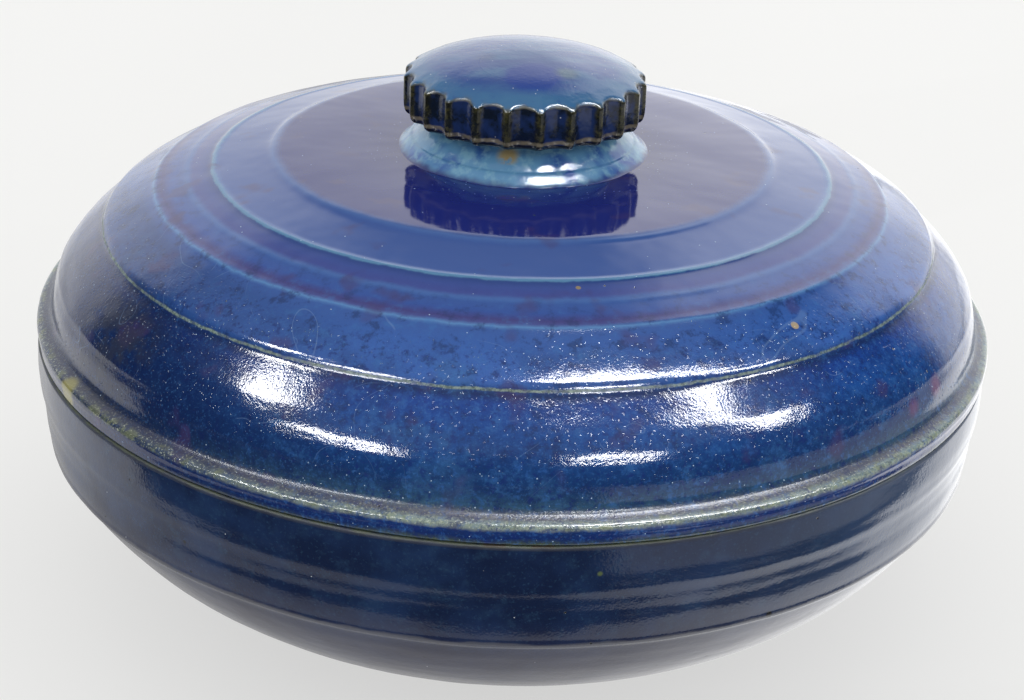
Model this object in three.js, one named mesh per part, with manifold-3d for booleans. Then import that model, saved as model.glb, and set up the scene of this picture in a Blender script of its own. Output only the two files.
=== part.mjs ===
// A squat stoneware lidded bowl: a wheel-thrown bowl on a foot ring, closed by a low domed lid that
// drops in on a seating flange and is lifted by a fluted knob.
// Millimetres, +Z up, origin on the axis at the plane that the foot ring stands on.
import * as THREE from "three";
import { mergeVertices } from "three/addons/utils/BufferGeometryUtils.js";
import Module from "manifold-3d";

const wasm = await Module();
wasm.setup();

// Driving dimensions.
const SEAM_R = 105; // outer radius where the lid meets the bowl
const SEAM_Z = 62; // height of the bowl's flat rim above the standing plane
const JOINT_GAP = 0.3; // glaze line between two pieces that touch

// Bowl.
const RIM_WIDTH = 6.2; // flat land that the lid sits on
const RIM_ROUND = 0.6; // softened corner each side of the land
const MOUTH_R = SEAM_R - RIM_WIDTH;
const BELLY_R = SEAM_R + 0.6; // the wall's widest ring
const KEEL_R = 103.9; // a low ridge where the wall turns under
const KEEL_DROP = 22; // depth of that ridge below the rim
const BASE_DROP = 56.4; // depth of the bowl's flat underside below the rim
const BASE_R = 57.5;
const FLOOR_DROP = 50.2; // depth of the floor inside

// Foot ring, under the flat underside.
const FOOT_OUTER_R = 55.5;
const FOOT_INNER_R = 48.5;
const FOOT_EDGE = 1.2; // rounding of the standing edge

// Lid.
const BRIM_R = 105.6; // widest point of the brim's rounded edge
const BRIM_RISE = 3; // height of that edge above the seam
const SHOULDER_R = 90.8; // sharp ridge where the lid turns down
const SHOULDER_RISE = 23.6;
const PLATEAU_R = 54.6; // flat top around the knob
const PLATEAU_RISE = 38.2;
const LAND_INNER_R = 90.5; // inner edge of the lid's flat underside
const CEILING_RISE = 31.6;

// Seating flange, under the lid.
const FLANGE_OUTER_R = 97.2;
const FLANGE_WALL = 6;
const FLANGE_DEPTH = 11;

// Knob.
const STEM_FOOT_R = 26.6;
const STEM_WAIST_R = 18.6;
const KNOB_R = 26.3;
const KNOB_UNDERSIDE_RISE = 45.7;
const KNOB_EDGE_RISE = 54.9; // where the fluted edge turns into the domed top
const KNOB_TOP_RISE = 59.9;
const KNOB_ROUND = 0.7;
const FLUTES = 24;
const FLUTE_DEPTH = 1.6;
const FLUTE_LAND = 0.18; // share of each pitch left as a ridge

// Facets around each piece.
const WALL_SEGMENTS = 60;
const KNOB_SEGMENTS = 48;
const FLUTE_STEPS = 5;

const DEEP_GLAZE = new THREE.MeshStandardMaterial({ color: 0x1b2f66, roughness: 0.2, metalness: 0 });
const WALL_GLAZE = new THREE.MeshStandardMaterial({ color: 0x141f40, roughness: 0.25, metalness: 0 });
const BARE_CLAY = new THREE.MeshStandardMaterial({ color: 0x9b7b5b, roughness: 0.85, metalness: 0 });
const KNOB_GLAZE = new THREE.MeshStandardMaterial({ color: 0x23314c, roughness: 0.3, metalness: 0 });

// A solid of revolution about +Z from [radius, height] points given anticlockwise, with the outside
// on the right of the way along them.
function revolve(points, segments) {
  const profile = points.map(([radius, height]) => new THREE.Vector2(radius, height));
  return new THREE.LatheGeometry(profile, segments).rotateX(Math.PI / 2);
}

// The same for a ring that doesn't reach the axis: its outline closes on its first point.
function revolveRing(points, segments) {
  return revolve([...points, points[0]], segments);
}

function namedMesh(name, geometry, material, height) {
  const mesh = new THREE.Mesh(geometry, material);
  mesh.name = name;
  mesh.position.z = height;
  return mesh;
}

function toSolid(geometry) {
  const bare = geometry.clone();
  bare.deleteAttribute("normal");
  bare.deleteAttribute("uv");
  const merged = mergeVertices(bare, 1e-3);
  const triVerts = new Uint32Array(merged.index.array);
  const vertProperties = merged.attributes.position.array;
  return new wasm.Manifold(new wasm.Mesh({ numProp: 3, vertProperties, triVerts }));
}

function toGeometry(solid) {
  const { vertProperties, triVerts } = solid.getMesh();
  const geometry = new THREE.BufferGeometry();
  geometry.setAttribute("position", new THREE.BufferAttribute(vertProperties, 3));
  geometry.setIndex(new THREE.BufferAttribute(triVerts, 1));
  return geometry;
}

// Heights in the bowl and the lid are counted from the seam.
function bowl() {
  const outside = [
    [0, -BASE_DROP],
    [BASE_R, -BASE_DROP],
    [67.2, -53.5],
    [77, -49.8],
    [85.1, -44.5],
    [92.1, -38.5],
    [97.2, -32.5],
    [101, -27],
    [KEEL_R, -KEEL_DROP],
    [104.9, -16.5],
    [105.1, -11.5],
    [BELLY_R, -6],
    [SEAM_R, -RIM_ROUND],
  ];
  const land = [
    [SEAM_R - RIM_ROUND, 0],
    [MOUTH_R + RIM_ROUND, 0],
  ];
  const inside = [
    [MOUTH_R, -RIM_ROUND],
    [MOUTH_R, -12],
    [98.2, -21],
    [93, -29],
    [86, -36],
    [77, -41.6],
    [65, -46],
    [50, -48.8],
    [25, -FLOOR_DROP + 0.2],
    [0, -FLOOR_DROP],
  ];
  return revolve([...outside, ...land, ...inside], WALL_SEGMENTS);
}

function footRing() {
  const top = -BASE_DROP - JOINT_GAP;
  const outline = [
    [FOOT_INNER_R + FOOT_EDGE, -SEAM_Z],
    [FOOT_OUTER_R - FOOT_EDGE, -SEAM_Z],
    [FOOT_OUTER_R, -SEAM_Z + FOOT_EDGE],
    [FOOT_OUTER_R, top],
    [FOOT_INNER_R, top],
    [FOOT_INNER_R, -SEAM_Z + FOOT_EDGE],
  ];
  return revolveRing(outline, WALL_SEGMENTS);
}

function lid() {
  const outside = [
    [LAND_INNER_R, JOINT_GAP],
    [SEAM_R - 0.2, JOINT_GAP],
    [SEAM_R + 0.3, JOINT_GAP + 0.7],
    [BRIM_R, BRIM_RISE],
    [104.8, 4.1],
    [103, 5],
    [102.1, 6.8],
    [101.3, 10.4],
    [99.6, 14.4],
    [96.6, 18.4],
    [SHOULDER_R + 0.5, SHOULDER_RISE - 0.9],
    [SHOULDER_R, SHOULDER_RISE],
    [79.8, 31],
    [73.1, 33.3],
    [67.1, 34.9],
    [PLATEAU_R + 0.8, 37],
    [PLATEAU_R, PLATEAU_RISE - 0.5],
    [STEM_FOOT_R + 2, PLATEAU_RISE],
    [0, PLATEAU_RISE],
  ];
  const inside = [
    [0, CEILING_RISE],
    [60, 30.3],
    [77, 25],
    [85, 19],
    [90.5, 12],
    [92, 5],
  ];
  return revolveRing([...outside, ...inside], WALL_SEGMENTS);
}

function lidFlange() {
  const innerR = FLANGE_OUTER_R - FLANGE_WALL;
  const outline = [
    [innerR + 1.5, -FLANGE_DEPTH],
    [FLANGE_OUTER_R - 2, -FLANGE_DEPTH],
    [FLANGE_OUTER_R - 0.4, -FLANGE_DEPTH + 1.5],
    [FLANGE_OUTER_R, 0],
    [innerR, 0],
    [innerR, -FLANGE_DEPTH + 1.5],
  ];
  return revolveRing(outline, WALL_SEGMENTS);
}

// Two low beads above a spread foot, drawn in to a waist under the knob.
function knobStem() {
  const foot = PLATEAU_RISE + JOINT_GAP;
  const top = KNOB_UNDERSIDE_RISE - JOINT_GAP;
  const outline = [
    [0, foot],
    [STEM_FOOT_R, foot],
    [25.6, foot + 1],
    [23.8, foot + 1.7],
    [21.3, foot + 2.4],
    [21.3, foot + 3.4],
    [19.6, foot + 4.6],
    [STEM_WAIST_R, foot + 5.8],
    [STEM_WAIST_R + 1.4, top],
    [0, top],
  ];
  return revolve(outline, KNOB_SEGMENTS);
}

// Outline of the knob seen from above: round hollows with a narrow ridge between neighbours.
function flutedOutline() {
  const pitch = (2 * Math.PI) / FLUTES;
  const hollow = pitch * (1 - FLUTE_LAND);
  const outline = new THREE.Shape();
  for (let flute = 0; flute < FLUTES; flute += 1) {
    for (let step = 0; step <= FLUTE_STEPS; step += 1) {
      const across = step / FLUTE_STEPS;
      const radius = KNOB_R - FLUTE_DEPTH * Math.sin(Math.PI * across);
      const angle = flute * pitch + hollow * (across - 0.5) - Math.PI / 2;
      const x = radius * Math.cos(angle);
      const y = radius * Math.sin(angle);
      if (flute === 0 && step === 0) outline.moveTo(x, y);
      else outline.lineTo(x, y);
    }
  }
  outline.closePath();
  return outline;
}

// A thick round plate with a domed top, fluted all the way down its edge.
function knob() {
  const blankR = KNOB_R + 1;
  const plate = revolve(
    [
      [0, KNOB_UNDERSIDE_RISE],
      [KNOB_R - KNOB_ROUND, KNOB_UNDERSIDE_RISE],
      [blankR, KNOB_UNDERSIDE_RISE + 1 + KNOB_ROUND],
      [blankR, KNOB_EDGE_RISE - 1 - KNOB_ROUND],
      [KNOB_R - KNOB_ROUND, KNOB_EDGE_RISE],
      [22, 56.8],
      [16, 58.7],
      [8, 59.7],
      [0, KNOB_TOP_RISE],
    ],
    KNOB_SEGMENTS,
  );
  const depth = KNOB_TOP_RISE - KNOB_UNDERSIDE_RISE + 2;
  const flutes = new THREE.ExtrudeGeometry(flutedOutline(), { depth, bevelEnabled: false });
  flutes.translate(0, 0, KNOB_UNDERSIDE_RISE - 1);
  return toGeometry(toSolid(plate).intersect(toSolid(flutes)));
}

const group = new THREE.Group();
group.add(
  namedMesh("bowl", bowl(), WALL_GLAZE, SEAM_Z),
  namedMesh("foot_ring", footRing(), BARE_CLAY, SEAM_Z),
  namedMesh("lid", lid(), DEEP_GLAZE, SEAM_Z),
  namedMesh("lid_flange", lidFlange(), BARE_CLAY, SEAM_Z),
  namedMesh("knob_stem", knobStem(), DEEP_GLAZE, SEAM_Z),
  namedMesh("knob", knob(), KNOB_GLAZE, SEAM_Z),
);

export default group;
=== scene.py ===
"""Looks of a blue-glazed stoneware lidded bowl with a fluted knob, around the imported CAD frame.

The pieces and their glazes are written in millimetres, counted from the bowl's axis and from the
seam between the bowl and its lid, and place() puts each mesh into the frame in metres. Angles round
the axis are in degrees from +X, so the camera stands at -90. Stage pieces are in metres, apart from
the outlines of the light panels.
"""

import math

import bpy
from mathutils import Matrix, Vector, noise


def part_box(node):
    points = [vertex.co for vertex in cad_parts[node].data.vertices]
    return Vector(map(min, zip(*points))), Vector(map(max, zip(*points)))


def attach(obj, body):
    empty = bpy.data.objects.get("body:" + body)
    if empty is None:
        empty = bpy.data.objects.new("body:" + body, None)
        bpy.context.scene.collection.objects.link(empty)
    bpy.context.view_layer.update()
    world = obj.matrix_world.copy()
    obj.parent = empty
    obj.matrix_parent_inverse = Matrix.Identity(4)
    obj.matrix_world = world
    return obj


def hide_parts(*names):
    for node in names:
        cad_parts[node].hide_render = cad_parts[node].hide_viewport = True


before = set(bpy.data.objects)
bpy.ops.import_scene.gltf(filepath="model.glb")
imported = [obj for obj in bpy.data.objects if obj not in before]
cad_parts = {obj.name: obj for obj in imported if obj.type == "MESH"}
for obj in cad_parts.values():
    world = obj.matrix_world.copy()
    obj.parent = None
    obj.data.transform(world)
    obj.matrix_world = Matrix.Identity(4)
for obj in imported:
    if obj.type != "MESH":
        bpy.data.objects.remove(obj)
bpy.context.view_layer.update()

MM = 0.001
SEAM_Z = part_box("bowl")[1].z  # height of the bowl's flat rim, in metres

# How far the bowl and the lid stand off the common axis, as hand-made pieces do:
# (low shift, low height, high shift, high height).
BOWL_LEAN = (-0.9, -60, -0.9, 0)
LID_LEAN = (-0.7, 3, 0, 38)

# The knob, which its mesh and its glaze both follow.
FLUTES = 24
FLUTE_DEPTH = 1.5
KNOB_EDGE = 54.8  # height where the fluted edge turns into the domed top
KNOB_DOME = 5.0  # rise of the domed top above that
KNOB_TOP_R = 26.0
KNOB_DOME_POWER = 2.8


# ---------------------------------------------------------------- outlines

def smooth(points, step=0.55):
    """(radius, height) points joined by a smooth curve, with a corner at each third item True."""
    runs, run = [], [points[0]]
    for point in points[1:]:
        run.append(point)
        if len(point) > 2:
            runs.append(run)
            run = [point]
    runs.append(run)
    outline = []
    for run in runs:
        if len(run) < 2:
            continue
        knots = [Vector((p[0], p[1])) for p in run]
        first = knots[0] * 2 - knots[1]
        last = knots[-1] * 2 - knots[-2]
        chain = [first, *knots, last]
        for i in range(1, len(chain) - 2):
            before, start, end, after = chain[i - 1 : i + 3]
            span = (end - start).length
            count = max(2, math.ceil(span / step))
            lead = (end - before) * (span / max((end - before).length, 1e-6))
            trail = (after - start) * (span / max((after - start).length, 1e-6))
            for k in range(count):
                t = k / count
                a = 2 * t**3 - 3 * t**2 + 1
                b = t**3 - 2 * t**2 + t
                c = -2 * t**3 + 3 * t**2
                d = t**3 - t**2
                outline.append(start * a + lead * b + end * c + trail * d)
    outline.append(Vector((points[-1][0], points[-1][1])))
    return outline


def add_rings(outline, rings):
    """Raises a low ring on the outline at each (radius, height, rise, half width)."""
    raised = []
    for i, point in enumerate(outline):
        along = outline[min(i + 1, len(outline) - 1)] - outline[max(i - 1, 0)]
        outward = Vector((along.y, -along.x)).normalized()
        rise = 0.0
        for radius, height, amount, half_width in rings:
            away = (point - Vector((radius, height))).length / half_width
            rise += amount * math.exp(-away * away)
        raised.append(point + outward * rise)
    return raised


# ---------------------------------------------------------------- meshes

def hand_wobble(angle, height, radius, amount, seed):
    """How far a hand-thrown wall stands off a true circle here."""
    turn = Vector((math.cos(angle), math.sin(angle), 0)) * 1.6
    slow = noise.noise(turn + Vector((seed, 0, height * 0.03 + radius * 0.02)))
    place = Vector((radius * math.cos(angle), radius * math.sin(angle), height))
    quick = noise.noise(place * 0.085 + Vector((0, seed, 0)))
    ripple = noise.noise(place * 0.3 + Vector((seed, seed, 0)))
    return amount * (slow + 0.45 * quick + 0.12 * ripple)


def lean_at(lean, height):
    """Sideways shift of a hand-made piece at this height."""
    low_shift, low, high_shift, high = lean
    share = min(1.0, max(0.0, (height - low) / (high - low)))
    return low_shift + (high_shift - low_shift) * share


WOBBLE_FREE_R = 12  # the wobble fades to nothing from this radius in to the axis
WOBBLE_FREE_RISE = 3  # and its upward part from this far above or below the seam


def lathe(
    name, outline, segments, materials,
    wobble=0.0, seed=0.0, closed=False, radius_at=None, lean=None,
):
    """A mesh turned from an outline that runs with the outside on its right."""
    mesh = bpy.data.meshes.new(name)
    verts, rows = [], []
    for i, point in enumerate(outline):
        before = outline[max(i - 1, 0)]
        after = outline[min(i + 1, len(outline) - 1)]
        along = after - before
        outward = Vector((along.y, -along.x))
        outward = outward.normalized() if outward.length > 1e-9 else Vector((1, 0))
        if point.x < 1e-6:
            rows.append([len(verts)] * segments)
            verts.append((0, 0, point.y))
            continue
        row = []
        for k in range(segments):
            angle = 2 * math.pi * k / segments
            shift = 0.0
            if wobble:
                shift = hand_wobble(angle, point.y, point.x, wobble, seed)
                shift *= min(1.0, point.x / WOBBLE_FREE_R)
            radius = point.x + outward.x * shift
            height = point.y + outward.y * shift * min(1.0, abs(point.y) / WOBBLE_FREE_RISE)
            if radius_at:
                radius, height = radius_at(radius, height, angle)
            row.append(len(verts))
            aside = lean_at(lean, height) if lean else 0.0
            verts.append((radius * math.cos(angle) + aside, radius * math.sin(angle), height))
        rows.append(row)
    if closed:
        rows.append(rows[0])
    faces = []
    for low, high in zip(rows, rows[1:]):
        for k in range(segments):
            n = (k + 1) % segments
            corners = [low[k], low[n], high[n], high[k]]
            face = [c for j, c in enumerate(corners) if c not in corners[:j]]
            if len(face) > 2:
                faces.append(face)
    mesh.from_pydata(verts, [], faces)
    for material in materials:
        mesh.materials.append(material)
    piece = bpy.data.objects.new(name, mesh)
    bpy.context.scene.collection.objects.link(piece)
    for polygon in mesh.polygons:
        polygon.use_smooth = True
    return piece


def place(piece, body, slot, *nodes):
    """Puts a piece made in millimetres about the seam into the frame, on its body."""
    to_frame = Matrix.Translation((0, 0, SEAM_Z)) @ Matrix.Scale(MM, 4)
    piece.data.transform(to_frame)
    piece.data.update()
    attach(piece, body)
    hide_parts(*nodes)
    return piece


# ---------------------------------------------------------------- camera

CAMERA_DISTANCE = 0.4243
CAMERA_ELEVATION = math.radians(23.92)
CAMERA_PAN = math.radians(-0.09)
CAMERA_TILT = math.radians(1.39)
CAMERA_ROLL = math.radians(2.24)
CAMERA_LENS = 65.26


def add_camera():
    data = bpy.data.cameras.new("camera")
    data.lens = CAMERA_LENS
    data.sensor_width = 36
    data.clip_start = 0.01
    camera = bpy.data.objects.new("camera", data)
    bpy.context.scene.collection.objects.link(camera)
    e = CAMERA_ELEVATION
    spot = Vector((0, -math.cos(e), math.sin(e))) * CAMERA_DISTANCE + Vector((0, 0, SEAM_Z))
    down = e + CAMERA_TILT
    forward = Vector(
        (
            math.sin(CAMERA_PAN) * math.cos(down),
            math.cos(CAMERA_PAN) * math.cos(down),
            -math.sin(down),
        )
    )
    right = forward.cross(Vector((0, 0, 1))).normalized()
    up = right.cross(forward)
    level = math.cos(CAMERA_ROLL), math.sin(CAMERA_ROLL)
    turned_right = right * level[0] + up * level[1]
    turned_up = up * level[0] - right * level[1]
    axes = Matrix((turned_right, turned_up, -forward)).transposed()
    camera.matrix_world = Matrix.Translation(spot) @ axes.to_4x4()
    bpy.context.scene.camera = camera


add_camera()


# ---------------------------------------------------------------- material building blocks

class Nodes:
    """A node tree written with short calls. A value is a number or another node's output."""

    def __init__(self, tree):
        self.tree = tree

    def put(self, socket, value):
        if isinstance(value, bpy.types.NodeSocket):
            self.tree.links.new(value, socket)
        else:
            socket.default_value = value

    def split(self, vector):
        node = self.tree.nodes.new("ShaderNodeSeparateXYZ")
        self.tree.links.new(vector, node.inputs[0])
        return node.outputs

    def math(self, operation, a, b=0.0, clamp=False):
        node = self.tree.nodes.new("ShaderNodeMath")
        node.operation = operation
        node.use_clamp = clamp
        for socket, value in zip(node.inputs, (a, b)):
            self.put(socket, value)
        return node.outputs[0]

    def add(self, *values):
        total = values[0]
        for value in values[1:]:
            total = self.math("ADD", total, value)
        return total

    def times(self, *values):
        total = values[0]
        for value in values[1:]:
            total = self.math("MULTIPLY", total, value)
        return total

    def rise(self, value, low, high, start=0.0, end=1.0, curve="SMOOTHSTEP"):
        """From start at low to end at high."""
        node = self.tree.nodes.new("ShaderNodeMapRange")
        node.interpolation_type = curve
        self.put(node.inputs["Value"], value)
        names = "From Min", "From Max", "To Min", "To Max"
        for name, number in zip(names, (low, high, start, end)):
            self.put(node.inputs[name], number)
        return node.outputs[0]


class Glaze(Nodes):
    """One material's nodes. Lengths here are millimetres."""

    def __init__(self, name, lean=None):
        self.material = bpy.data.materials.new(name)
        self.material.use_nodes = True
        super().__init__(self.material.node_tree)
        self.shader = self.tree.nodes["Principled BSDF"]
        coordinates = self.tree.nodes.new("ShaderNodeTexCoord").outputs["Object"]
        lifted = self.vector("SUBTRACT", coordinates, (0, 0, SEAM_Z))
        self.place = self.vector("SCALE", lifted, scale=1 / MM)
        self.x, self.y, self.z = self.split(self.place)
        if lean:
            low_shift, low, high_shift, high = lean
            shift = self.rise(self.z, low, high, low_shift, high_shift, "LINEAR")
            self.x = self.math("SUBTRACT", self.x, shift)
        square = self.add(self.math("POWER", self.x, 2.0), self.math("POWER", self.y, 2.0))
        self.radius = self.math("SQRT", square)
        self.turn = self.math("ARCTAN2", self.y, self.x)

    def vector(self, operation, a, b=(0, 0, 0), scale=1.0):
        node = self.tree.nodes.new("ShaderNodeVectorMath")
        node.operation = operation
        self.put(node.inputs[0], a)
        self.put(node.inputs[1], b)
        if operation == "SCALE":
            node.inputs["Scale"].default_value = scale
        return node.outputs[0]

    def noise(self, size, detail=2.0, rough=0.5, shift=0.0, where=None):
        """Cloudy noise from 0 to 1 whose lumps are about size millimetres across."""
        node = self.tree.nodes.new("ShaderNodeTexNoise")
        where = self.place if where is None else where
        place = self.vector("ADD", where, (shift, shift * 0.7, -shift))
        self.put(node.inputs["Vector"], place)
        node.inputs["Scale"].default_value = 1 / size
        node.inputs["Detail"].default_value = detail
        node.inputs["Roughness"].default_value = rough
        return node.outputs["Fac"]

    def wander(self, size, amount, shift, detail=2.0):
        """Noise that swings amount millimetres either side of zero."""
        swing = self.math("SUBTRACT", self.noise(size, detail, 0.6, shift), 0.5)
        return self.math("MULTIPLY", swing, amount * 4)

    def between(self, value, low, high):
        """0 at low, 1 at high, smooth in between. Low may be the greater of the two."""
        share = self.rise(value, min(low, high), max(low, high))
        return share if low < high else self.math("SUBTRACT", 1.0, share)

    def ring(self, value, middle, half_width, softness):
        """1 on a ring where value is near middle, 0 away from it."""
        off = self.math("ABSOLUTE", self.math("SUBTRACT", value, middle))
        return self.between(off, half_width + softness, half_width)

    def facing(self, low, high):
        """0 where the upward share of the surface's normal is low, 1 where it is high."""
        normal = self.tree.nodes.new("ShaderNodeTexCoord").outputs["Normal"]
        return self.between(self.split(normal)[2], low, high)

    def stretched(self, *sizes):
        """A place to look noise up that stretches it by these lengths along x, y and z."""
        joined = self.tree.nodes.new("ShaderNodeCombineXYZ")
        for socket, value, size in zip(joined.inputs, (self.x, self.y, self.z), sizes):
            self.put(socket, self.math("DIVIDE", value, size))
        return joined.outputs[0]

    def spot(self, azimuth, radius, height, size, softness):
        """1 near one point of the surface, 0 away from it."""
        angle = math.radians(azimuth)
        centre = (radius * math.cos(angle), radius * math.sin(angle), height)
        gap = self.tree.nodes.new("ShaderNodeVectorMath")
        gap.operation = "DISTANCE"
        self.put(gap.inputs[0], self.place)
        self.put(gap.inputs[1], centre)
        return self.between(gap.outputs["Value"], size + softness, size)

    def specks(self, spacing, size, kept, shift):
        """Small round specks, spacing and size in millimetres, in this share of the cells."""
        node = self.tree.nodes.new("ShaderNodeTexVoronoi")
        place = self.vector("ADD", self.place, (shift, -shift, shift * 0.5))
        self.put(node.inputs["Vector"], place)
        node.inputs["Scale"].default_value = 1 / spacing
        round_speck = self.between(node.outputs["Distance"], size / spacing, size / spacing * 0.5)
        chance = self.tree.nodes.new("ShaderNodeSeparateColor")
        self.put(chance.inputs[0], node.outputs["Color"])
        return self.times(round_speck, self.math("LESS_THAN", chance.outputs[0], kept))

    def scratches(self, size, width, shift, kept):
        """Long fine hairlines along the contours of slow noise, broken into short lengths."""
        lines = self.math("ABSOLUTE", self.math("SUBTRACT", self.noise(size, 1.0, 0.4, shift), 0.5))
        lines = self.between(lines, width, width * 0.3)
        gaps = self.between(self.noise(size * 0.55, 1.0, 0.5, shift + 50), kept, kept + 0.05)
        return self.times(lines, gaps)

    def ramp(self, value, stops):
        """Colours by value, from (value, colour) stops."""
        low, high = stops[0][0], stops[-1][0]
        node = self.tree.nodes.new("ShaderNodeValToRGB")
        share = self.math("DIVIDE", self.math("SUBTRACT", value, low), high - low, clamp=True)
        self.put(node.inputs[0], share)
        elements = node.color_ramp.elements
        elements[0].color = (*stops[0][1], 1)
        elements[1].color = (*stops[-1][1], 1)
        for at, colour in stops[1:-1]:
            elements.new((at - low) / (high - low)).color = (*colour, 1)
        return node.outputs[0]

    def mix(self, share, a, b):
        """Colour a where share is 0, colour b where it is 1."""
        node = self.tree.nodes.new("ShaderNodeMix")
        node.data_type = "RGBA"
        self.put(node.inputs["Factor"], share)
        for socket, value in ((node.inputs[6], a), (node.inputs[7], b)):
            self.put(socket, value if isinstance(value, bpy.types.NodeSocket) else (*value, 1))
        return node.outputs[2]

    def finish(self, colour, roughness, height, bump, ior=1.5, specular=0.5):
        """Sets the shader. bump is the depth in millimetres of one unit of height."""
        self.put(self.shader.inputs["Base Color"], colour)
        self.put(self.shader.inputs["Roughness"], roughness)
        self.shader.inputs["IOR"].default_value = ior
        self.shader.inputs["Specular IOR Level"].default_value = specular
        node = self.tree.nodes.new("ShaderNodeBump")
        node.inputs["Strength"].default_value = 1.0
        node.inputs["Distance"].default_value = bump * MM
        self.put(node.inputs["Height"], height)
        self.put(self.shader.inputs["Normal"], node.outputs[0])
        return self.material


# Linear colours of the glazes.
INDIGO = (0.014, 0.022, 0.165)
NAVY = (0.009, 0.026, 0.105)
TEAL = (0.040, 0.125, 0.280)
SKY = (0.110, 0.250, 0.480)
PLUM = (0.055, 0.035, 0.120)
MOSS = (0.230, 0.260, 0.090)
CREAM = (0.420, 0.460, 0.380)
GLINT_WHITE = (0.750, 0.800, 0.850)
BLACK = (0.006, 0.007, 0.009)
CLAY = (0.330, 0.220, 0.130)
DARK_CLAY = (0.200, 0.125, 0.070)
CRIMSON = (0.190, 0.020, 0.110)

GLAZE_IOR = 1.55


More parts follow.
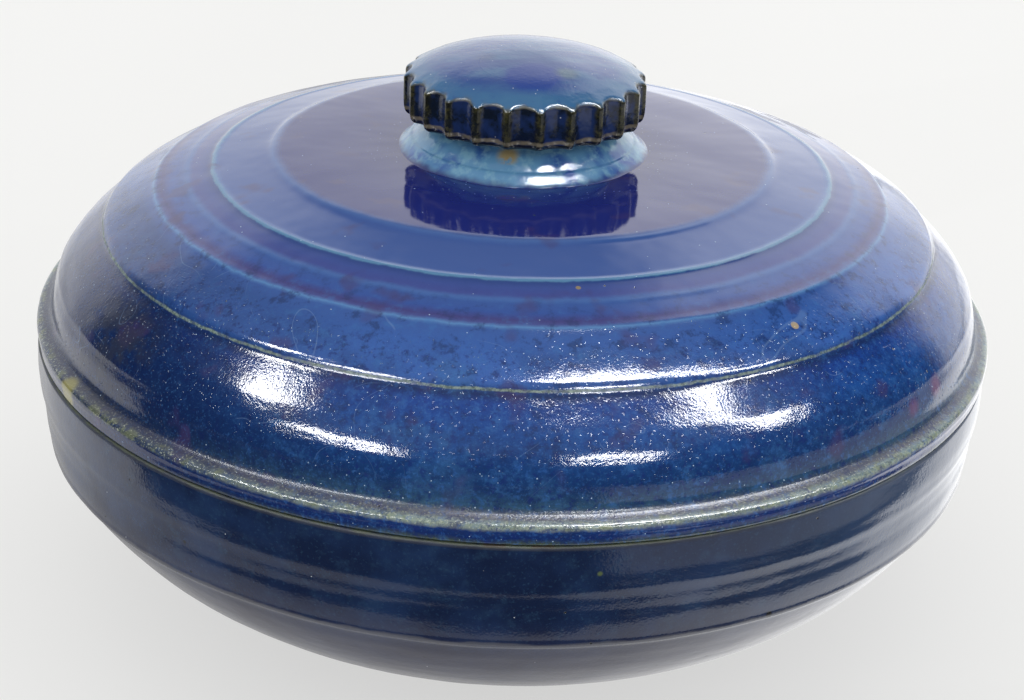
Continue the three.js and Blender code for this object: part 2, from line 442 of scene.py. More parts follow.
def lid_glaze():
    """Blues that thin to pale lines on each ring, to moss on the shoulder and to cream on the brim.

    Most of it goes by fall, which grows steadily from the plateau down over the dome to the brim.
    """
    g = Glaze("lid_glaze_blue", LID_LEAN)
    fall = g.math("SUBTRACT", g.radius, g.z)
    ragged = g.add(fall, g.wander(7, 0.35, 3), g.wander(1.4, 0.16, 5))
    base = g.ramp(
        ragged,
        [
            (-40, INDIGO),
            (14.6, INDIGO),
            (16.5, (0.050, 0.120, 0.340)),
            (18.2, (0.034, 0.084, 0.290)),
            (30.6, (0.038, 0.092, 0.310)),
            (31.5, (0.048, 0.130, 0.360)),
            (32.3, (0.110, 0.280, 0.440)),
            (33.1, (0.018, 0.050, 0.210)),
            (35.2, (0.032, 0.066, 0.270)),
            (38.0, (0.040, 0.062, 0.260)),
            (39.5, (0.050, 0.130, 0.370)),
            (41.0, (0.032, 0.088, 0.310)),
            (44.0, (0.028, 0.078, 0.310)),
            (46.6, (0.045, 0.045, 0.190)),
            (48.0, (0.055, 0.075, 0.260)),
            (48.9, (0.095, 0.230, 0.480)),
            (49.8, (0.038, 0.100, 0.330)),
            (55.0, (0.036, 0.110, 0.380)),
            (65.6, (0.040, 0.120, 0.410)),
            # Painted shade: the navy just below the shoulder ridge stands for the ridge's shadow.
            (68.6, NAVY),
            (71.0, (0.011, 0.052, 0.270)),
            (79.0, (0.011, 0.070, 0.290)),
            (86.0, (0.011, 0.056, 0.215)),
            (92.5, (0.007, 0.034, 0.125)),
            (96.4, (0.032, 0.085, 0.150)),
            (97.8, (0.066, 0.086, 0.120)),
            (99.2, (0.092, 0.092, 0.125)),
            (100.5, (0.220, 0.300, 0.290)),
            (101.9, (0.340, 0.400, 0.300)),
            (102.5, (0.010, 0.036, 0.160)),
            (104.0, (0.005, 0.020, 0.120)),
            (105.0, (0.050, 0.075, 0.050)),
        ],
    )
    low = g.between(fall, 52, 60)
    clouds = g.noise(17, 3, 0.55, 11)
    colour = g.mix(g.times(g.between(clouds, 0.58, 0.36), 0.7, low), base, g.mix(0.5, base, NAVY))
    colour = g.mix(g.times(g.between(g.noise(11, 3, 0.6, 37), 0.56, 0.70), 0.35, low), colour, TEAL)
    dapple = g.noise(3.2, 4, 0.7, 23)
    down = g.between(fall, 30, 55)
    colour = g.mix(g.times(g.between(dapple, 0.52, 0.72), 0.4, down), colour, (0.045, 0.165, 0.430))
    colour = g.mix(g.times(g.between(dapple, 0.49, 0.34), 0.62, down), colour, NAVY)
    mottle = g.noise(1.3, 3, 0.65, 29)
    colour = g.mix(g.times(g.between(mottle, 0.48, 0.32), 0.6, low), colour, (0.010, 0.024, 0.150))
    colour = g.mix(g.times(g.between(mottle, 0.53, 0.70), 0.4, low), colour, (0.036, 0.135, 0.430))
    # Painted shade: the middle and shoulder bands are darkened on the lid's left front.
    shaded_bands = g.add(g.times(g.between(fall, 48, 54), 0.5), g.times(g.between(fall, 66, 74), 0.35))
    painted_left_shade = g.times(g.between(g.x, -15, -75), shaded_bands)
    painted_left_shade = g.times(painted_left_shade, g.between(g.y, 10, -30))
    colour = g.mix(painted_left_shade, colour, (0.004, 0.012, 0.060))
    plum = g.times(g.between(g.noise(9, 2, 0.5, 57), 0.60, 0.72), 0.5)
    colour = g.mix(plum, colour, PLUM)
    grain = g.noise(0.55, 2, 0.6, 41)
    colour = g.mix(g.times(g.between(grain, 0.56, 0.72), 0.25, low), colour, (0.060, 0.200, 0.460))
    frayed = g.add(fall, g.wander(1.6, 0.16, 5), g.wander(7, 0.2, 3))
    ridge = g.ring(frayed, 67.3, 0.1, 0.5)
    moss = g.between(g.noise(0.9, 3, 0.7, 7), 0.4, 0.6)
    moss = g.mix(moss, (0.060, 0.110, 0.070), (0.240, 0.330, 0.260))
    broken = g.between(g.noise(2.2, 3, 0.7, 7), 0.25, 0.6)
    colour = g.mix(g.times(ridge, broken, 0.85), colour, moss)
    brim = g.times(g.between(fall, 95.5, 98.5), g.between(fall, 102.6, 101.8))
    crumbs = g.noise(0.5, 2, 0.7, 61)
    pale = g.add(0.3, g.times(g.between(fall, 98.6, 100.4), 0.65))
    colour = g.mix(g.times(g.between(crumbs, 0.54, 0.7), brim, pale), colour, CREAM)
    colour = g.mix(g.times(g.between(crumbs, 0.42, 0.3), brim, 0.7), colour, NAVY)
    drips = g.times(g.between(g.noise(4, 3, 0.7, 67), 0.5, 0.62), g.between(fall, 98.5, 100.5))
    colour = g.mix(g.times(drips, brim, 0.4), colour, MOSS)
    rust = g.spot(-143, 99.5, 14, 6, 14)
    rust = g.times(rust, g.between(g.noise(5, 3, 0.6, 71), 0.35, 0.55))
    colour = g.mix(g.times(rust, 0.5), colour, (0.036, 0.040, 0.048))
    patch = g.times(g.spot(-147.2, 105.5, 2.4, 2.2, 1.6), 0.85)
    colour = g.mix(patch, colour, (0.260, 0.240, 0.070))
    colour = g.mix(g.times(g.spot(-33.6, 101, 11, 0.8, 2.4), 0.5), colour, CRIMSON)
    colour = g.mix(g.times(g.spot(-39.3, 101.2, 10, 0.6, 2.0), 0.4), colour, CRIMSON)
    colour = g.mix(g.spot(-51.6, 85.2, 27.8, 0.7, 0.3), colour, (0.420, 0.330, 0.220))
    colour = g.mix(g.spot(-80.5, 69.3, 34.3, 0.35, 0.3), colour, (0.260, 0.200, 0.120))
    hollow = g.times(g.facing(-0.05, -0.3), g.between(g.radius, 93.5, 92.5))
    lining = g.mix(g.between(clouds, 0.36, 0.62), (0.010, 0.030, 0.130), (0.020, 0.060, 0.220))
    colour = g.mix(hollow, colour, lining)
    pinholes = g.specks(6.5, 0.33, 0.5, 5)
    colour = g.mix(pinholes, colour, BLACK)
    # Painted reflection: pale specks on the plateau round the stem stand for the stem mirrored
    # there.
    stem_reflection_glints = g.between(g.add(g.radius, g.wander(6, 2, 9)), 37, 30)
    stem_reflection_glints = g.times(g.specks(1.1, 0.16, 0.5, 47), stem_reflection_glints)
    # Painted glints: pale specks over the lid, denser on the lower dome, stand for tiny highlights;
    # they also raise small bumps.
    painted_glints = g.add(g.specks(2.6, 0.17, 0.4, 9), g.times(g.specks(1.5, 0.14, 0.5, 19), low), stem_reflection_glints)
    colour = g.mix(g.times(painted_glints, 0.7), colour, (0.520, 0.700, 0.900))
    band = g.times(g.between(fall, 47, 52), g.between(fall, 100, 85))
    hair = g.add(
        g.scratches(30, 0.0014, 6, 0.50),
        g.scratches(22, 0.0016, 38, 0.52),
        g.scratches(17, 0.002, 79, 0.54),
    )
    colour = g.mix(g.times(hair, band, 0.25), colour, (0.180, 0.300, 0.520))
    rough = g.between(fall, 45, 62)
    grit = g.add(g.specks(0.85, 0.22, 0.5, 51), g.specks(1.0, 0.24, 0.25, 53))
    grit = g.times(grit, 0.5)
    fine = g.add(g.times(g.noise(0.4, 1, 0.5, 2), 0.4), grit)
    fine = g.add(fine, g.times(g.noise(1.2, 1, 0.5, 22), 0.4))
    height = g.times(fine, g.add(0.03, g.times(rough, 0.97)))
    height = g.add(height, g.times(g.noise(7, 1, 0.5, 2), 0.9), g.times(pinholes, -1.5))
    height = g.add(height, g.times(painted_glints, 0.6), g.times(crumbs, brim))
    dull = g.times(brim, g.between(fall, 101.2, 100.4))
    roughness = g.add(0.07, g.times(rough, 0.04), g.times(dull, 0.22), g.times(ridge, 0.3))
    return g.finish(colour, roughness, height, 0.05, ior=GLAZE_IOR)


def wall_glaze():
    """The same glaze lying thick and dark on the bowl's steep wall, thinner on its ridges."""
    g = Glaze("wall_glaze_navy", BOWL_LEAN)
    clouds = g.noise(16, 4, 0.6, 31)
    dapple = g.noise(3.5, 4, 0.65, 13)
    colour = g.mix(g.between(clouds, 0.38, 0.66), (0.005, 0.013, 0.046), (0.009, 0.026, 0.082))
    colour = g.mix(g.times(g.between(dapple, 0.5, 0.75), 0.35), colour, (0.022, 0.060, 0.120))
    grain = g.between(g.noise(0.6, 2, 0.6, 43), 0.57, 0.72)
    colour = g.mix(g.times(grain, 0.3), colour, (0.030, 0.080, 0.150))
    seam = g.between(g.add(g.z, g.wander(3, 0.15, 3)), -0.55, -0.15)
    seam = g.times(seam, g.between(g.radius, 103.8, 104.3))
    broken = g.times(seam, g.between(g.noise(4, 2, 0.6, 63), 0.25, 0.55))
    colour = g.mix(broken, colour, (0.052, 0.074, 0.040))
    for azimuth in (-91.2, -86.5):
        dab = g.times(g.spot(azimuth, 105.1, -0.3, 1.6, 0.8), seam)
        colour = g.mix(dab, colour, (0.050, 0.034, 0.014))
    # Painted light: the wall is lighter blue towards the right, the brighter-lit side.
    colour = g.mix(g.times(g.between(g.x, 25, 95), 0.7), colour, (0.024, 0.060, 0.140))
    # Painted reflection: a violet-grey sheen towards the bottom of the wall, as from the floor
    # below.
    painted_low_sheen = g.between(g.z, -14, -30)
    colour = g.mix(g.times(painted_low_sheen, 0.6), colour, (0.030, 0.026, 0.050))
    inside = g.times(g.facing(0.05, 0.3), g.between(g.z, -2, -12))
    outward = g.between(g.add(g.radius, g.wander(18, 4, 7)), 30, 80)
    pooled = g.mix(outward, (0.010, 0.036, 0.150), (0.018, 0.060, 0.210))
    pooled = g.mix(g.times(g.between(dapple, 0.5, 0.7), 0.3), pooled, SKY)
    colour = g.mix(inside, colour, pooled)
    colour = g.mix(g.spot(-61.2, 104.1, -21.4, 0.5, 0.4), colour, BLACK)
    pits = (-122.8, 105.4, -8.5), (-128.2, 104.4, -19.5), (-125.5, 105, -13.8)
    for azimuth, radius, height in pits:
        colour = g.mix(g.spot(azimuth, radius, height, 0.4, 0.25), colour, BLACK)
    fleck = g.times(g.spot(-80.8, 105.6, -5.7, 0.2, 0.5), 0.7)
    colour = g.mix(fleck, colour, (0.120, 0.160, 0.050))
    keel = g.ring(g.add(g.z, g.wander(9, 0.3, 5)), -21.9, 0.2, 0.5)
    colour = g.mix(g.times(keel, 0.55, g.between(g.radius, 100, 102)), colour, (0.13, 0.13, 0.14))
    specks = g.specks(6, 0.32, 0.5, 15)
    colour = g.mix(specks, colour, BLACK)
    # Painted glints: small pale specks over the wall stand for tiny highlights.
    painted_glints = g.specks(3.4, 0.16, 0.4, 29)
    colour = g.mix(g.times(painted_glints, 0.6), colour, GLINT_WHITE)
    moss = g.specks(17, 0.6, 0.25, 77)
    colour = g.mix(moss, colour, MOSS)
    throwing = g.noise(1.0, 2, 0.5, 83, where=g.stretched(45, 45, 4.2))
    height = g.add(g.times(g.noise(0.5, 1, 0.5, 5), 0.35), g.times(g.noise(3, 2, 0.6, 6), 0.5))
    height = g.add(height, g.times(throwing, 1.1), g.times(specks, -1.5))
    edge = g.between(g.z, -1.1, -0.6)
    return g.finish(colour, g.add(0.15, g.times(edge, 0.4)), height, 0.08, ior=GLAZE_IOR)


def clay():
    """Unglazed speckled stoneware, rough to the touch."""
    g = Glaze("bare_fired_clay")
    colour = g.mix(g.noise(6, 5, 0.7, 4), DARK_CLAY, CLAY)
    colour = g.mix(g.specks(1.3, 0.22, 0.5, 3), colour, (0.06, 0.035, 0.02))
    height = g.noise(0.6, 4, 0.8, 8)
    return g.finish(colour, 0.85, height, 0.2, specular=0.2)


def stem_glaze():
    """Bright thin blue over the stem's beads, with one amber patch."""
    g = Glaze("stem_glaze_bright")
    clouds = g.between(g.noise(7, 2, 0.5, 15), 0.44, 0.70)
    colour = g.mix(clouds, (0.120, 0.300, 0.520), (0.025, 0.085, 0.360))
    streaks = g.between(g.noise(3, 3, 0.6, 25), 0.46, 0.66)
    colour = g.mix(g.times(streaks, 0.6), colour, (0.240, 0.470, 0.600))
    foot = g.between(g.add(g.radius, g.wander(4, 0.5, 3)), 26.0, 27.6)
    colour = g.mix(foot, colour, (0.030, 0.045, 0.180))
    amber = g.times(g.spot(-98, 20.8, 42.6, 1.2, 2.0), g.between(g.noise(2, 2, 0.6, 5), 0.3, 0.5))
    amber = g.times(amber, g.between(g.z, 41.6, 42.2))
    colour = g.mix(g.times(amber, 0.85), colour, (0.420, 0.300, 0.090))
    height = g.add(g.times(g.noise(0.8, 2, 0.6, 5), 0.3), g.noise(4, 1, 0.5, 6))
    return g.finish(colour, 0.15, height, 0.08, ior=GLAZE_IOR)


def knob_glaze():
    """Blue on the domed top, near black in the flutes and worn thin on the ridges between them."""
    g = Glaze("knob_glaze")
    brushed = g.noise(1.0, 3, 0.6, 17, where=g.stretched(18, 6, 6))
    top = g.mix(g.between(brushed, 0.36, 0.64), (0.045, 0.135, 0.300), (0.020, 0.068, 0.260))
    patch = g.between(g.add(g.spot(-84, 15, 58.9, 2, 7), g.wander(3, 0.12, 21)), 0.15, 0.6)
    top = g.mix(g.times(patch, 0.95), top, (0.006, 0.044, 0.270))
    top = g.mix(g.times(g.spot(-150, 10, 59.5, 0.5, 3), 0.5), top, (0.010, 0.034, 0.160))
    top = g.mix(g.times(g.between(g.radius, 19, 23.5), 0.7), top, (0.045, 0.155, 0.300))
    flecks = g.between(g.noise(2.5, 3, 0.6, 19), 0.56, 0.75)
    top = g.mix(g.times(flecks, 0.4), top, (0.012, 0.045, 0.240))
    top = g.mix(g.times(g.spot(-55, 15, 58.7, 1.0, 2.6), 0.4), top, (0.120, 0.160, 0.120))
    pitch = 2 * math.pi / FLUTES
    turn = g.math("PINGPONG", g.add(g.turn, math.pi / 2), pitch / 2)
    across = g.math("DIVIDE", turn, pitch / 2)
    hollow = g.between(g.noise(4, 3, 0.6, 27), 0.4, 0.6)
    hollow = g.mix(hollow, (0.004, 0.009, 0.022), (0.010, 0.026, 0.100))
    ridge = g.between(g.noise(1.6, 3, 0.7, 35), 0.4, 0.7)
    ridge = g.mix(ridge, (0.008, 0.010, 0.008), (0.055, 0.052, 0.020))
    side = g.mix(g.between(g.add(across, g.wander(2, 0.08, 9)), 0.55, 0.8), hollow, ridge)
    dome = g.math("POWER", g.math("DIVIDE", g.radius, KNOB_TOP_R), KNOB_DOME_POWER)
    dome = g.times(dome, -KNOB_DOME)
    below = g.math("SUBTRACT", g.add(dome, KNOB_EDGE + KNOB_DOME), g.z)
    below = g.add(below, g.wander(2.5, 0.12, 13))
    colour = g.mix(g.between(below, 0.25, 0.6), top, side)
    rim = g.between(g.radius, 23.2, 24.2)
    lip = g.times(g.ring(below, 0.4, 0.1, 0.25), rim)
    lip = g.times(lip, g.between(g.noise(2.2, 2, 0.6, 45), 0.3, 0.6), 0.7)
    colour = g.mix(lip, colour, (0.120, 0.112, 0.066))
    bottom = g.ring(g.add(g.z, g.wander(3, 0.25, 17)), 47.4, 0.2, 0.4)
    bottom = g.times(bottom, g.between(g.noise(3, 2, 0.6, 39), 0.2, 0.6), 0.8)
    colour = g.mix(bottom, colour, (0.200, 0.170, 0.110))
    # Painted shade: the knob's underside, below 47 mm, is painted black.
    colour = g.mix(g.between(g.z, 47.0, 46.6), colour, BLACK)
    # Painted glints: small pale specks over the knob stand for tiny highlights.
    colour = g.mix(g.times(g.specks(1.6, 0.16, 0.4, 9), 0.7), colour, GLINT_WHITE)
    height = g.add(g.times(g.noise(0.9, 3, 0.6, 8), 0.5), g.noise(4, 2, 0.5, 9))
    worn = g.times(g.ring(below, 0.5, 0.15, 0.2), g.between(across, 0.72, 0.5), rim, 0.3)
    scuffed = g.times(g.spot(-94, 8, 59.5, 4, 11), 0.25)
    return g.finish(colour, g.add(0.14, worn, scuffed), height, 0.09, ior=GLAZE_IOR)


# ---------------------------------------------------------------- the pieces

WALL_SEGMENTS = 480
RING_SEGMENTS = 256
WALL_WOBBLE = 0.24


def make_bowl(glaze):
    outline = smooth([(0, -56.4), (56.5, -56.4, True), (58, -56.1), (67.2, -53.3)], 3)[:-1]
    outline += smooth(
        [
            (67.2, -53.3), (77, -49.7), (85.1, -44.5), (92.1, -38.4), (97.3, -32.4), (101.0, -27),
            (103.2, -23.2), (103.9, -22.0, True), (104.4, -19.8), (104.8, -16.5), (105.0, -13.6),
            (105.1, -11.5), (105.45, -9), (105.7, -6), (105.6, -3), (105.4, -0.6), (105.2, -0.2),
            (104.8, -0.03),
        ],
        0.55,
    )[:-1]
    outline += smooth(
        [(104.8, -0.03), (99.8, 0, True), (99.1, -0.3), (98.7, -1.2), (98.5, -3)], 0.6
    )[:-1]
    outline += smooth(
        [
            (98.5, -3), (98.6, -12), (98, -21), (93, -29), (86, -36), (77, -41.6), (65, -46),
            (50, -48.8), (25, -50), (0, -50.2),
        ],
        3,
    )
    rings = [(103.9, -21.9, 0.35, 0.7), (105, -14.6, -0.16, 1.6), (105.5, -9.4, 0.12, 1.3)]
    outline = add_rings(outline, rings)
    piece = lathe(
        "glazed_bowl", outline, WALL_SEGMENTS, [glaze], wobble=WALL_WOBBLE, seed=2.5, lean=BOWL_LEAN
    )
    return place(piece, "bowl_body", "wall_glaze", "bowl")


def make_foot(material):
    outline = smooth(
        [
            (48.5, -56.6), (48.3, -60.5), (49.2, -61.6), (50.5, -61.9), (53.5, -61.9),
            (54.9, -61.5), (55.5, -60.3), (55.2, -57.5), (56.0, -56.2),
        ]
    )
    piece = lathe("turned_foot_ring", outline, RING_SEGMENTS, [material], lean=BOWL_LEAN)
    return place(piece, "bowl_body", "bare_clay", "foot_ring")


def make_lid(glaze):
    outline = smooth([(90.6, 0.3), (104.6, 0.1)], 2)[:-1]
    outline += smooth(
        [
            (104.6, 0.1), (105.2, 0.2), (105.4, 0.7), (105.45, 1.9), (105.6, 2.9), (105.35, 3.7),
            (104.6, 4.3), (103.6, 4.75), (102.7, 5.4), (102.2, 6.6), (101.9, 8.2), (101.3, 10.6),
            (99.7, 14.1), (97.2, 17.25), (95.8, 18.65), (94.2, 20.15), (92.6, 21.65),
            (91.3, 22.85), (90.95, 23.3, True), (90.6, 23.95), (90.05, 24.65), (89.2, 25.3),
            (87.6, 26.35), (84, 28.5), (80.2, 30.8), (79.6, 31.15, True), (76.4, 32.2),
            (73.2, 33.2, True), (70.2, 34.1), (67.3, 34.9, True), (61, 36.1), (56.6, 37.0),
            (55.5, 37.35), (54.7, 37.75), (53.6, 38.0), (51.5, 38.15),
        ],
        0.5,
    )[:-1]
    outline += smooth([(51.5, 38.15), (47, 38.33), (38, 38.5), (28, 38.55), (0, 38.55)], 3)
    rings = [
        (67.2, 34.95, 0.2, 0.6),
        (79.8, 31.05, 0.07, 0.9),
        (73.2, 33.2, 0.06, 0.8),
        (100.3, 12.9, 0.10, 0.7),
        (102.5, 5.7, 0.07, 0.4),
        (105.2, 3.9, 0.16, 0.4),
    ]
    outline = add_rings(outline, rings)
    inside = smooth(
        [(0, 31.6), (60, 30.3), (77, 25), (85, 19), (90.5, 12), (91.8, 5), (90.9, 0.6)], 4
    )
    piece = lathe(
        "glazed_lid", [*outline, *inside], WALL_SEGMENTS, [glaze],
        wobble=WALL_WOBBLE, seed=7.5, closed=True, lean=LID_LEAN,
    )
    return place(piece, "lid_body", "lid_glaze", "lid")


def make_flange(material):
    outline = smooth(
        [
            (91.2, 0.6), (91.2, -9.2), (92.2, -10.7), (94, -11), (95.6, -10.7), (96.8, -9.2),
            (97.2, 0.6),
        ]
    )
    piece = lathe("lid_seating_flange", outline, RING_SEGMENTS, [material], lean=LID_LEAN)
    return place(piece, "lid_body", "bare_clay", "lid_flange")


def make_stem(glaze):
    outline = smooth(
        [
            (28.8, 38.1), (27.7, 38.35), (27.0, 38.7), (26.2, 39.35), (25.3, 40.15), (24.7, 40.6),
            (24.2, 40.75, True), (23.8, 41.1), (23.0, 41.9), (22.0, 42.8), (21.0, 43.6),
            (20.0, 44.2), (19.4, 44.7), (19.3, 45.3), (20.0, 46.0),
        ],
        0.4,
    )
    piece = lathe("knob_stem_beads", outline, RING_SEGMENTS, [glaze], wobble=0.15, seed=4.5)
    return place(piece, "lid_body", "lid_glaze", "knob_stem")


def knob_top(radius):
    """Height of the domed top at this radius."""
    return KNOB_EDGE + KNOB_DOME * (1 - (radius / KNOB_TOP_R) ** KNOB_DOME_POWER)


HOLLOW_SHARE = 0.84  # share of each flute's pitch that is hollow; the rest is the ridge
HOLLOW_POWER = 0.7  # below 1, the hollow is flatter across its middle
UNCUT_R = 17  # the flutes pull the mesh in only outside this radius
FULL_CUT_SPAN = 9.3  # and by their whole depth this much further out
SEGMENTS_PER_FLUTE = 24
LIFT_FROM, LIFT_SPAN = 51, 3.6  # heights over which the edge starts to follow the domed top


def fluted(radius, height, angle):
    """Cuts a flute straight down the knob's edge, and leaves the domed top as it is."""
    turn = (angle + math.pi / 2) * FLUTES / (2 * math.pi)
    across = abs(turn - round(turn)) * 2
    hollow = max(0.0, 1 - (across / HOLLOW_SHARE) ** 2) ** HOLLOW_POWER
    reach = min(1.0, max(0.0, (radius - UNCUT_R) / FULL_CUT_SPAN)) ** 2
    pulled = radius - FLUTE_DEPTH * hollow * reach
    lift = min(1.0, max(0.0, (height - LIFT_FROM) / LIFT_SPAN))
    return pulled, height + lift * (knob_top(pulled) - knob_top(radius))


def make_knob(glaze):
    outline = smooth(
        [
            (0, 45.7), (20, 45.7), (24.4, 45.7), (25.6, 46.1), (26.1, 47.0), (26.3, 48.5),
            (26.3, 53), (26.2, 54.2), (25.6, 54.9), (24.4, 55.6), (22, 56.8), (18, 58.2),
            (13, 59.2), (7, 59.75), (0, 59.9),
        ],
        0.4,
    )
    segments = FLUTES * SEGMENTS_PER_FLUTE
    piece = lathe("fluted_knob", outline, segments, [glaze], radius_at=fluted, wobble=0.1, seed=9.5)
    return place(piece, "lid_body", "knob_glaze", "knob")


lid_material = lid_glaze()
clay_material = clay()
make_bowl(wall_glaze())
make_foot(clay_material)
make_lid(lid_material)
make_flange(clay_material)
make_stem(stem_glaze())
make_knob(knob_glaze())


# ---------------------------------------------------------------- studio

def card_material(name, strength):
    material = bpy.data.materials.new(name)
    material.use_nodes = True
    tree = material.node_tree
    tree.nodes.remove(tree.nodes["Principled BSDF"])
    glow = tree.nodes.new("ShaderNodeEmission")
    glow.inputs["Strength"].default_value = strength
    tree.links.new(glow.outputs[0], tree.nodes["Material Output"].inputs["Surface"])
    return material


def reflections_only(thing):
    """Stage pieces that only the glaze mirrors, as the tent around a glossy thing on a set."""
    thing.visible_camera = False
    thing.visible_diffuse = False
    thing.visible_shadow = False
    thing.visible_transmission = False
    thing.visible_volume_scatter = False


def card(name, corners, strength):
    mesh = bpy.data.meshes.new(name)
    mesh.from_pydata(corners, [], [list(range(len(corners)))])
    mesh.materials.append(card_material(name, strength))
    panel = bpy.data.objects.new(name, mesh)
    bpy.context.scene.collection.objects.link(panel)
    reflections_only(panel)
    return panel


TENT_DARK = 0.02
TENT_OVERHEAD = 0.3


def tent_material():
    """Dark in front and low, pale behind and brightest behind on the right, dim overhead."""
    material = card_material("tent", TENT_DARK)
    n = Nodes(material.node_tree)
    way = n.tree.nodes.new("ShaderNodeVectorMath")
    way.operation = "NORMALIZE"
    n.put(way.inputs[0], n.tree.nodes.new("ShaderNodeTexCoord").outputs["Object"])
    across, back, up = n.split(way.outputs[0])
    behind = n.times(n.rise(back, 0.34, 0.58), n.rise(across, -0.2, 0.2, 1.2, 1.7))
    corner = n.times(n.rise(across, 0.1, 0.3), n.rise(back, 0.05, 0.25))
    overhead = n.times(n.rise(up, 0.52, 0.74), n.math("SUBTRACT", 1.0, corner))
    low_part = n.times(behind, n.math("SUBTRACT", 1.0, overhead))
    total = n.add(low_part, n.times(overhead, TENT_OVERHEAD), TENT_DARK)
    n.put(n.tree.nodes["Emission"].inputs["Strength"], total)
    return material


TENT_RADIUS = 1.1
TENT_LOW_EDGE = -2.5  # degrees above the level of the seam
TENT_ROWS = 20


def tent():
    row = (90 - TENT_LOW_EDGE) / TENT_ROWS
    turns = [math.radians(TENT_LOW_EDGE + row * k) for k in range(TENT_ROWS + 1)]
    rim = [Vector((math.cos(turn), math.sin(turn))) * TENT_RADIUS for turn in turns]
    rim[-1].x = 0.0
    shell = lathe("tent", rim, 72, [tent_material()])
    shell.location.z = SEAM_Z
    reflections_only(shell)


FLOOR_FLAT_R = 1.6
FLOOR_SWEEP = 1.0
SWEEP_STEPS = 12


def soft_floor():
    """A round pale sweep: flat under the bowl and curved up far away on every side."""
    outline = [Vector((0, 0))]
    for k in range(SWEEP_STEPS + 1):
        turn = math.pi / 2 * k / SWEEP_STEPS
        along, up = math.sin(turn), 1 - math.cos(turn)
        outline.append(Vector((FLOOR_FLAT_R + FLOOR_SWEEP * along, FLOOR_SWEEP * up)))
    material = bpy.data.materials.new("floor")
    material.use_nodes = True
    shader = material.node_tree.nodes["Principled BSDF"]
    shader.inputs["Base Color"].default_value = (0.30, 0.30, 0.295, 1)
    shader.inputs["Roughness"].default_value = 0.9
    shader.inputs["Specular IOR Level"].default_value = 0.1
    shader.inputs["Emission Color"].default_value = (1, 1, 0.99, 1)
    shader.inputs["Emission Strength"].default_value = 0.58
    floor = lathe("floor", outline[::-1], 96, [material])
    for polygon in floor.data.polygons:
        if polygon.normal.z < 0:
            polygon.flip()


# Outlines of the light panels, in millimetres to the right and up, as seen from the lid.
LEFT_LIGHT = [
    (-165, 0), (-90, -5), (-35, -60), (-50, -115), (-125, -145), (-195, -105), (-200, -30),
]
RIGHT_LIGHT = [
    (-150, -25), (-110, 20), (0, 38), (105, 10), (85, -130), (45, -290), (-90, -320), (-125, -250),
    (0, -200), (40, -110), (0, -60),
]
RIGHT_EDGE_LIGHT = [
    (-150, 75), (-120, 100), (-20, 115), (40, 330), (110, 400), (220, 380), (290, 330), (270, 260),
    (180, 165), (110, 70), (0, 65),
]
LEFT_LOW_LIGHT = [(-175, 0), (-110, 32), (90, 42), (160, 12), (120, -30), (-120, -35)]
RIGHT_LOW_LIGHT = [(-133, 5), (-90, 34), (60, 42), (133, 12), (95, -30), (-80, -34)]
PANEL_DISTANCE = 0.8
PANEL_GLOW = 34


def light_panel(name, azimuth, elevation, outline):
    """A glowing panel that only reflections see, facing the lid from this direction."""
    a, e = math.radians(azimuth), math.radians(elevation)
    towards = Vector((math.cos(a) * math.cos(e), math.sin(a) * math.cos(e), math.sin(e)))
    side = towards.cross(Vector((0, 0, 1))).normalized()
    up = side.cross(towards)
    centre = Vector((0, 0, SEAM_Z)) + towards * PANEL_DISTANCE
    card(name, [centre + side * (u * MM) + up * (v * MM) for u, v in outline], PANEL_GLOW)


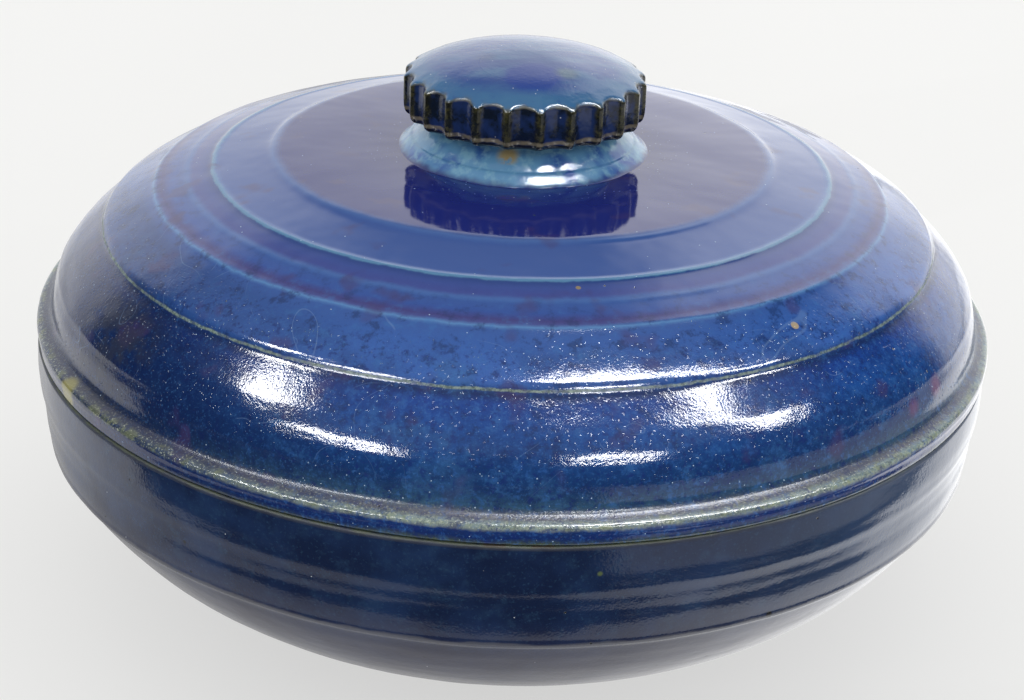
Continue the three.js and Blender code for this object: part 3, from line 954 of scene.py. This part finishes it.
# Where the pale stand that the glaze mirrors ends, in metres, from the left round the front.
STAND_EDGE = [
    (-0.50, -0.02), (-0.22, -0.07), (-0.152, -0.084), (-0.131, -0.104), (-0.108, -0.121),
    (-0.082, -0.131), (-0.053, -0.146), (-0.02, -0.141), (0.02, -0.137), (0.05, -0.146),
    (0.075, -0.142), (0.098, -0.116), (0.119, -0.091), (0.136, -0.071), (0.165, -0.045),
    (0.21, -0.01), (0.45, 0.15),
]
STAND_CLEARANCE = 0.001
STAND_DIM = 0.5  # glow under the bowl
FAR = 1.0
SHADOW_REACH = 0.025  # width of the dark strip past the stand's edge at the right
FRONT_GLOW = 0.03
RIGHT_GLOW = 0.65


def the_stand():
    """Pale ground round the foot as the glaze sees it: dim under the bowl, bright at the right."""
    outline = [(-0.5, 0.6), *STAND_EDGE, (0.5, 0.6)]
    panel = card("stand", [(x, y, STAND_CLEARANCE / 2) for x, y in outline], STAND_DIM)
    n = Nodes(panel.data.materials[0].node_tree)
    across = n.split(n.tree.nodes.new("ShaderNodeTexCoord").outputs["Object"])[0]
    right = n.rise(across, -0.02, 0.15, 0.0, 1.3)
    left = n.rise(across, -0.11, -0.2, 0.0, 0.5)
    n.put(n.tree.nodes["Emission"].inputs["Strength"], n.add(right, STAND_DIM, left))


def beyond_the_stand():
    """Ground only the glaze sees, outside the stand's edge: dark in front, pale at the right."""
    for i, (near, far) in enumerate(zip(STAND_EDGE, STAND_EDGE[1:])):
        if near[0] > 0.04:
            strips = [(0.0, SHADOW_REACH, FRONT_GLOW), (SHADOW_REACH, FAR, RIGHT_GLOW)]
        else:
            strips = [(0.0, FAR, FRONT_GLOW)]
        for k, (start, stop, strength) in enumerate(strips):
            corners = []
            for point, away in ((near, start), (far, start), (far, stop), (near, stop)):
                ground = Vector(point)
                ground += ground.normalized() * away
                corners.append((ground.x, ground.y, STAND_CLEARANCE))
            card(f"beyond_{i}_{k}", corners, strength)


def studio():
    soft_floor()
    world = bpy.data.worlds.new("studio")
    world.use_nodes = True
    background = world.node_tree.nodes["Background"]
    background.inputs["Color"].default_value = (1, 1, 1, 1)
    background.inputs["Strength"].default_value = 1.0
    bpy.context.scene.world = world
    tent()
    beyond_the_stand()
    the_stand()
    light_panel("left_softbox", -172, 50, LEFT_LIGHT)
    light_panel("right_softbox", -22, 55, RIGHT_LIGHT)
    light_panel("right_edge_softbox", -22, 55, RIGHT_EDGE_LIGHT)
    light_panel("left_low_softbox", -131, 34, LEFT_LOW_LIGHT)
    light_panel("right_low_softbox", -65, 35, RIGHT_LOW_LIGHT)


studio()
bpy.context.scene.view_settings.view_transform = "Standard"

bpy.context.view_layer.update()
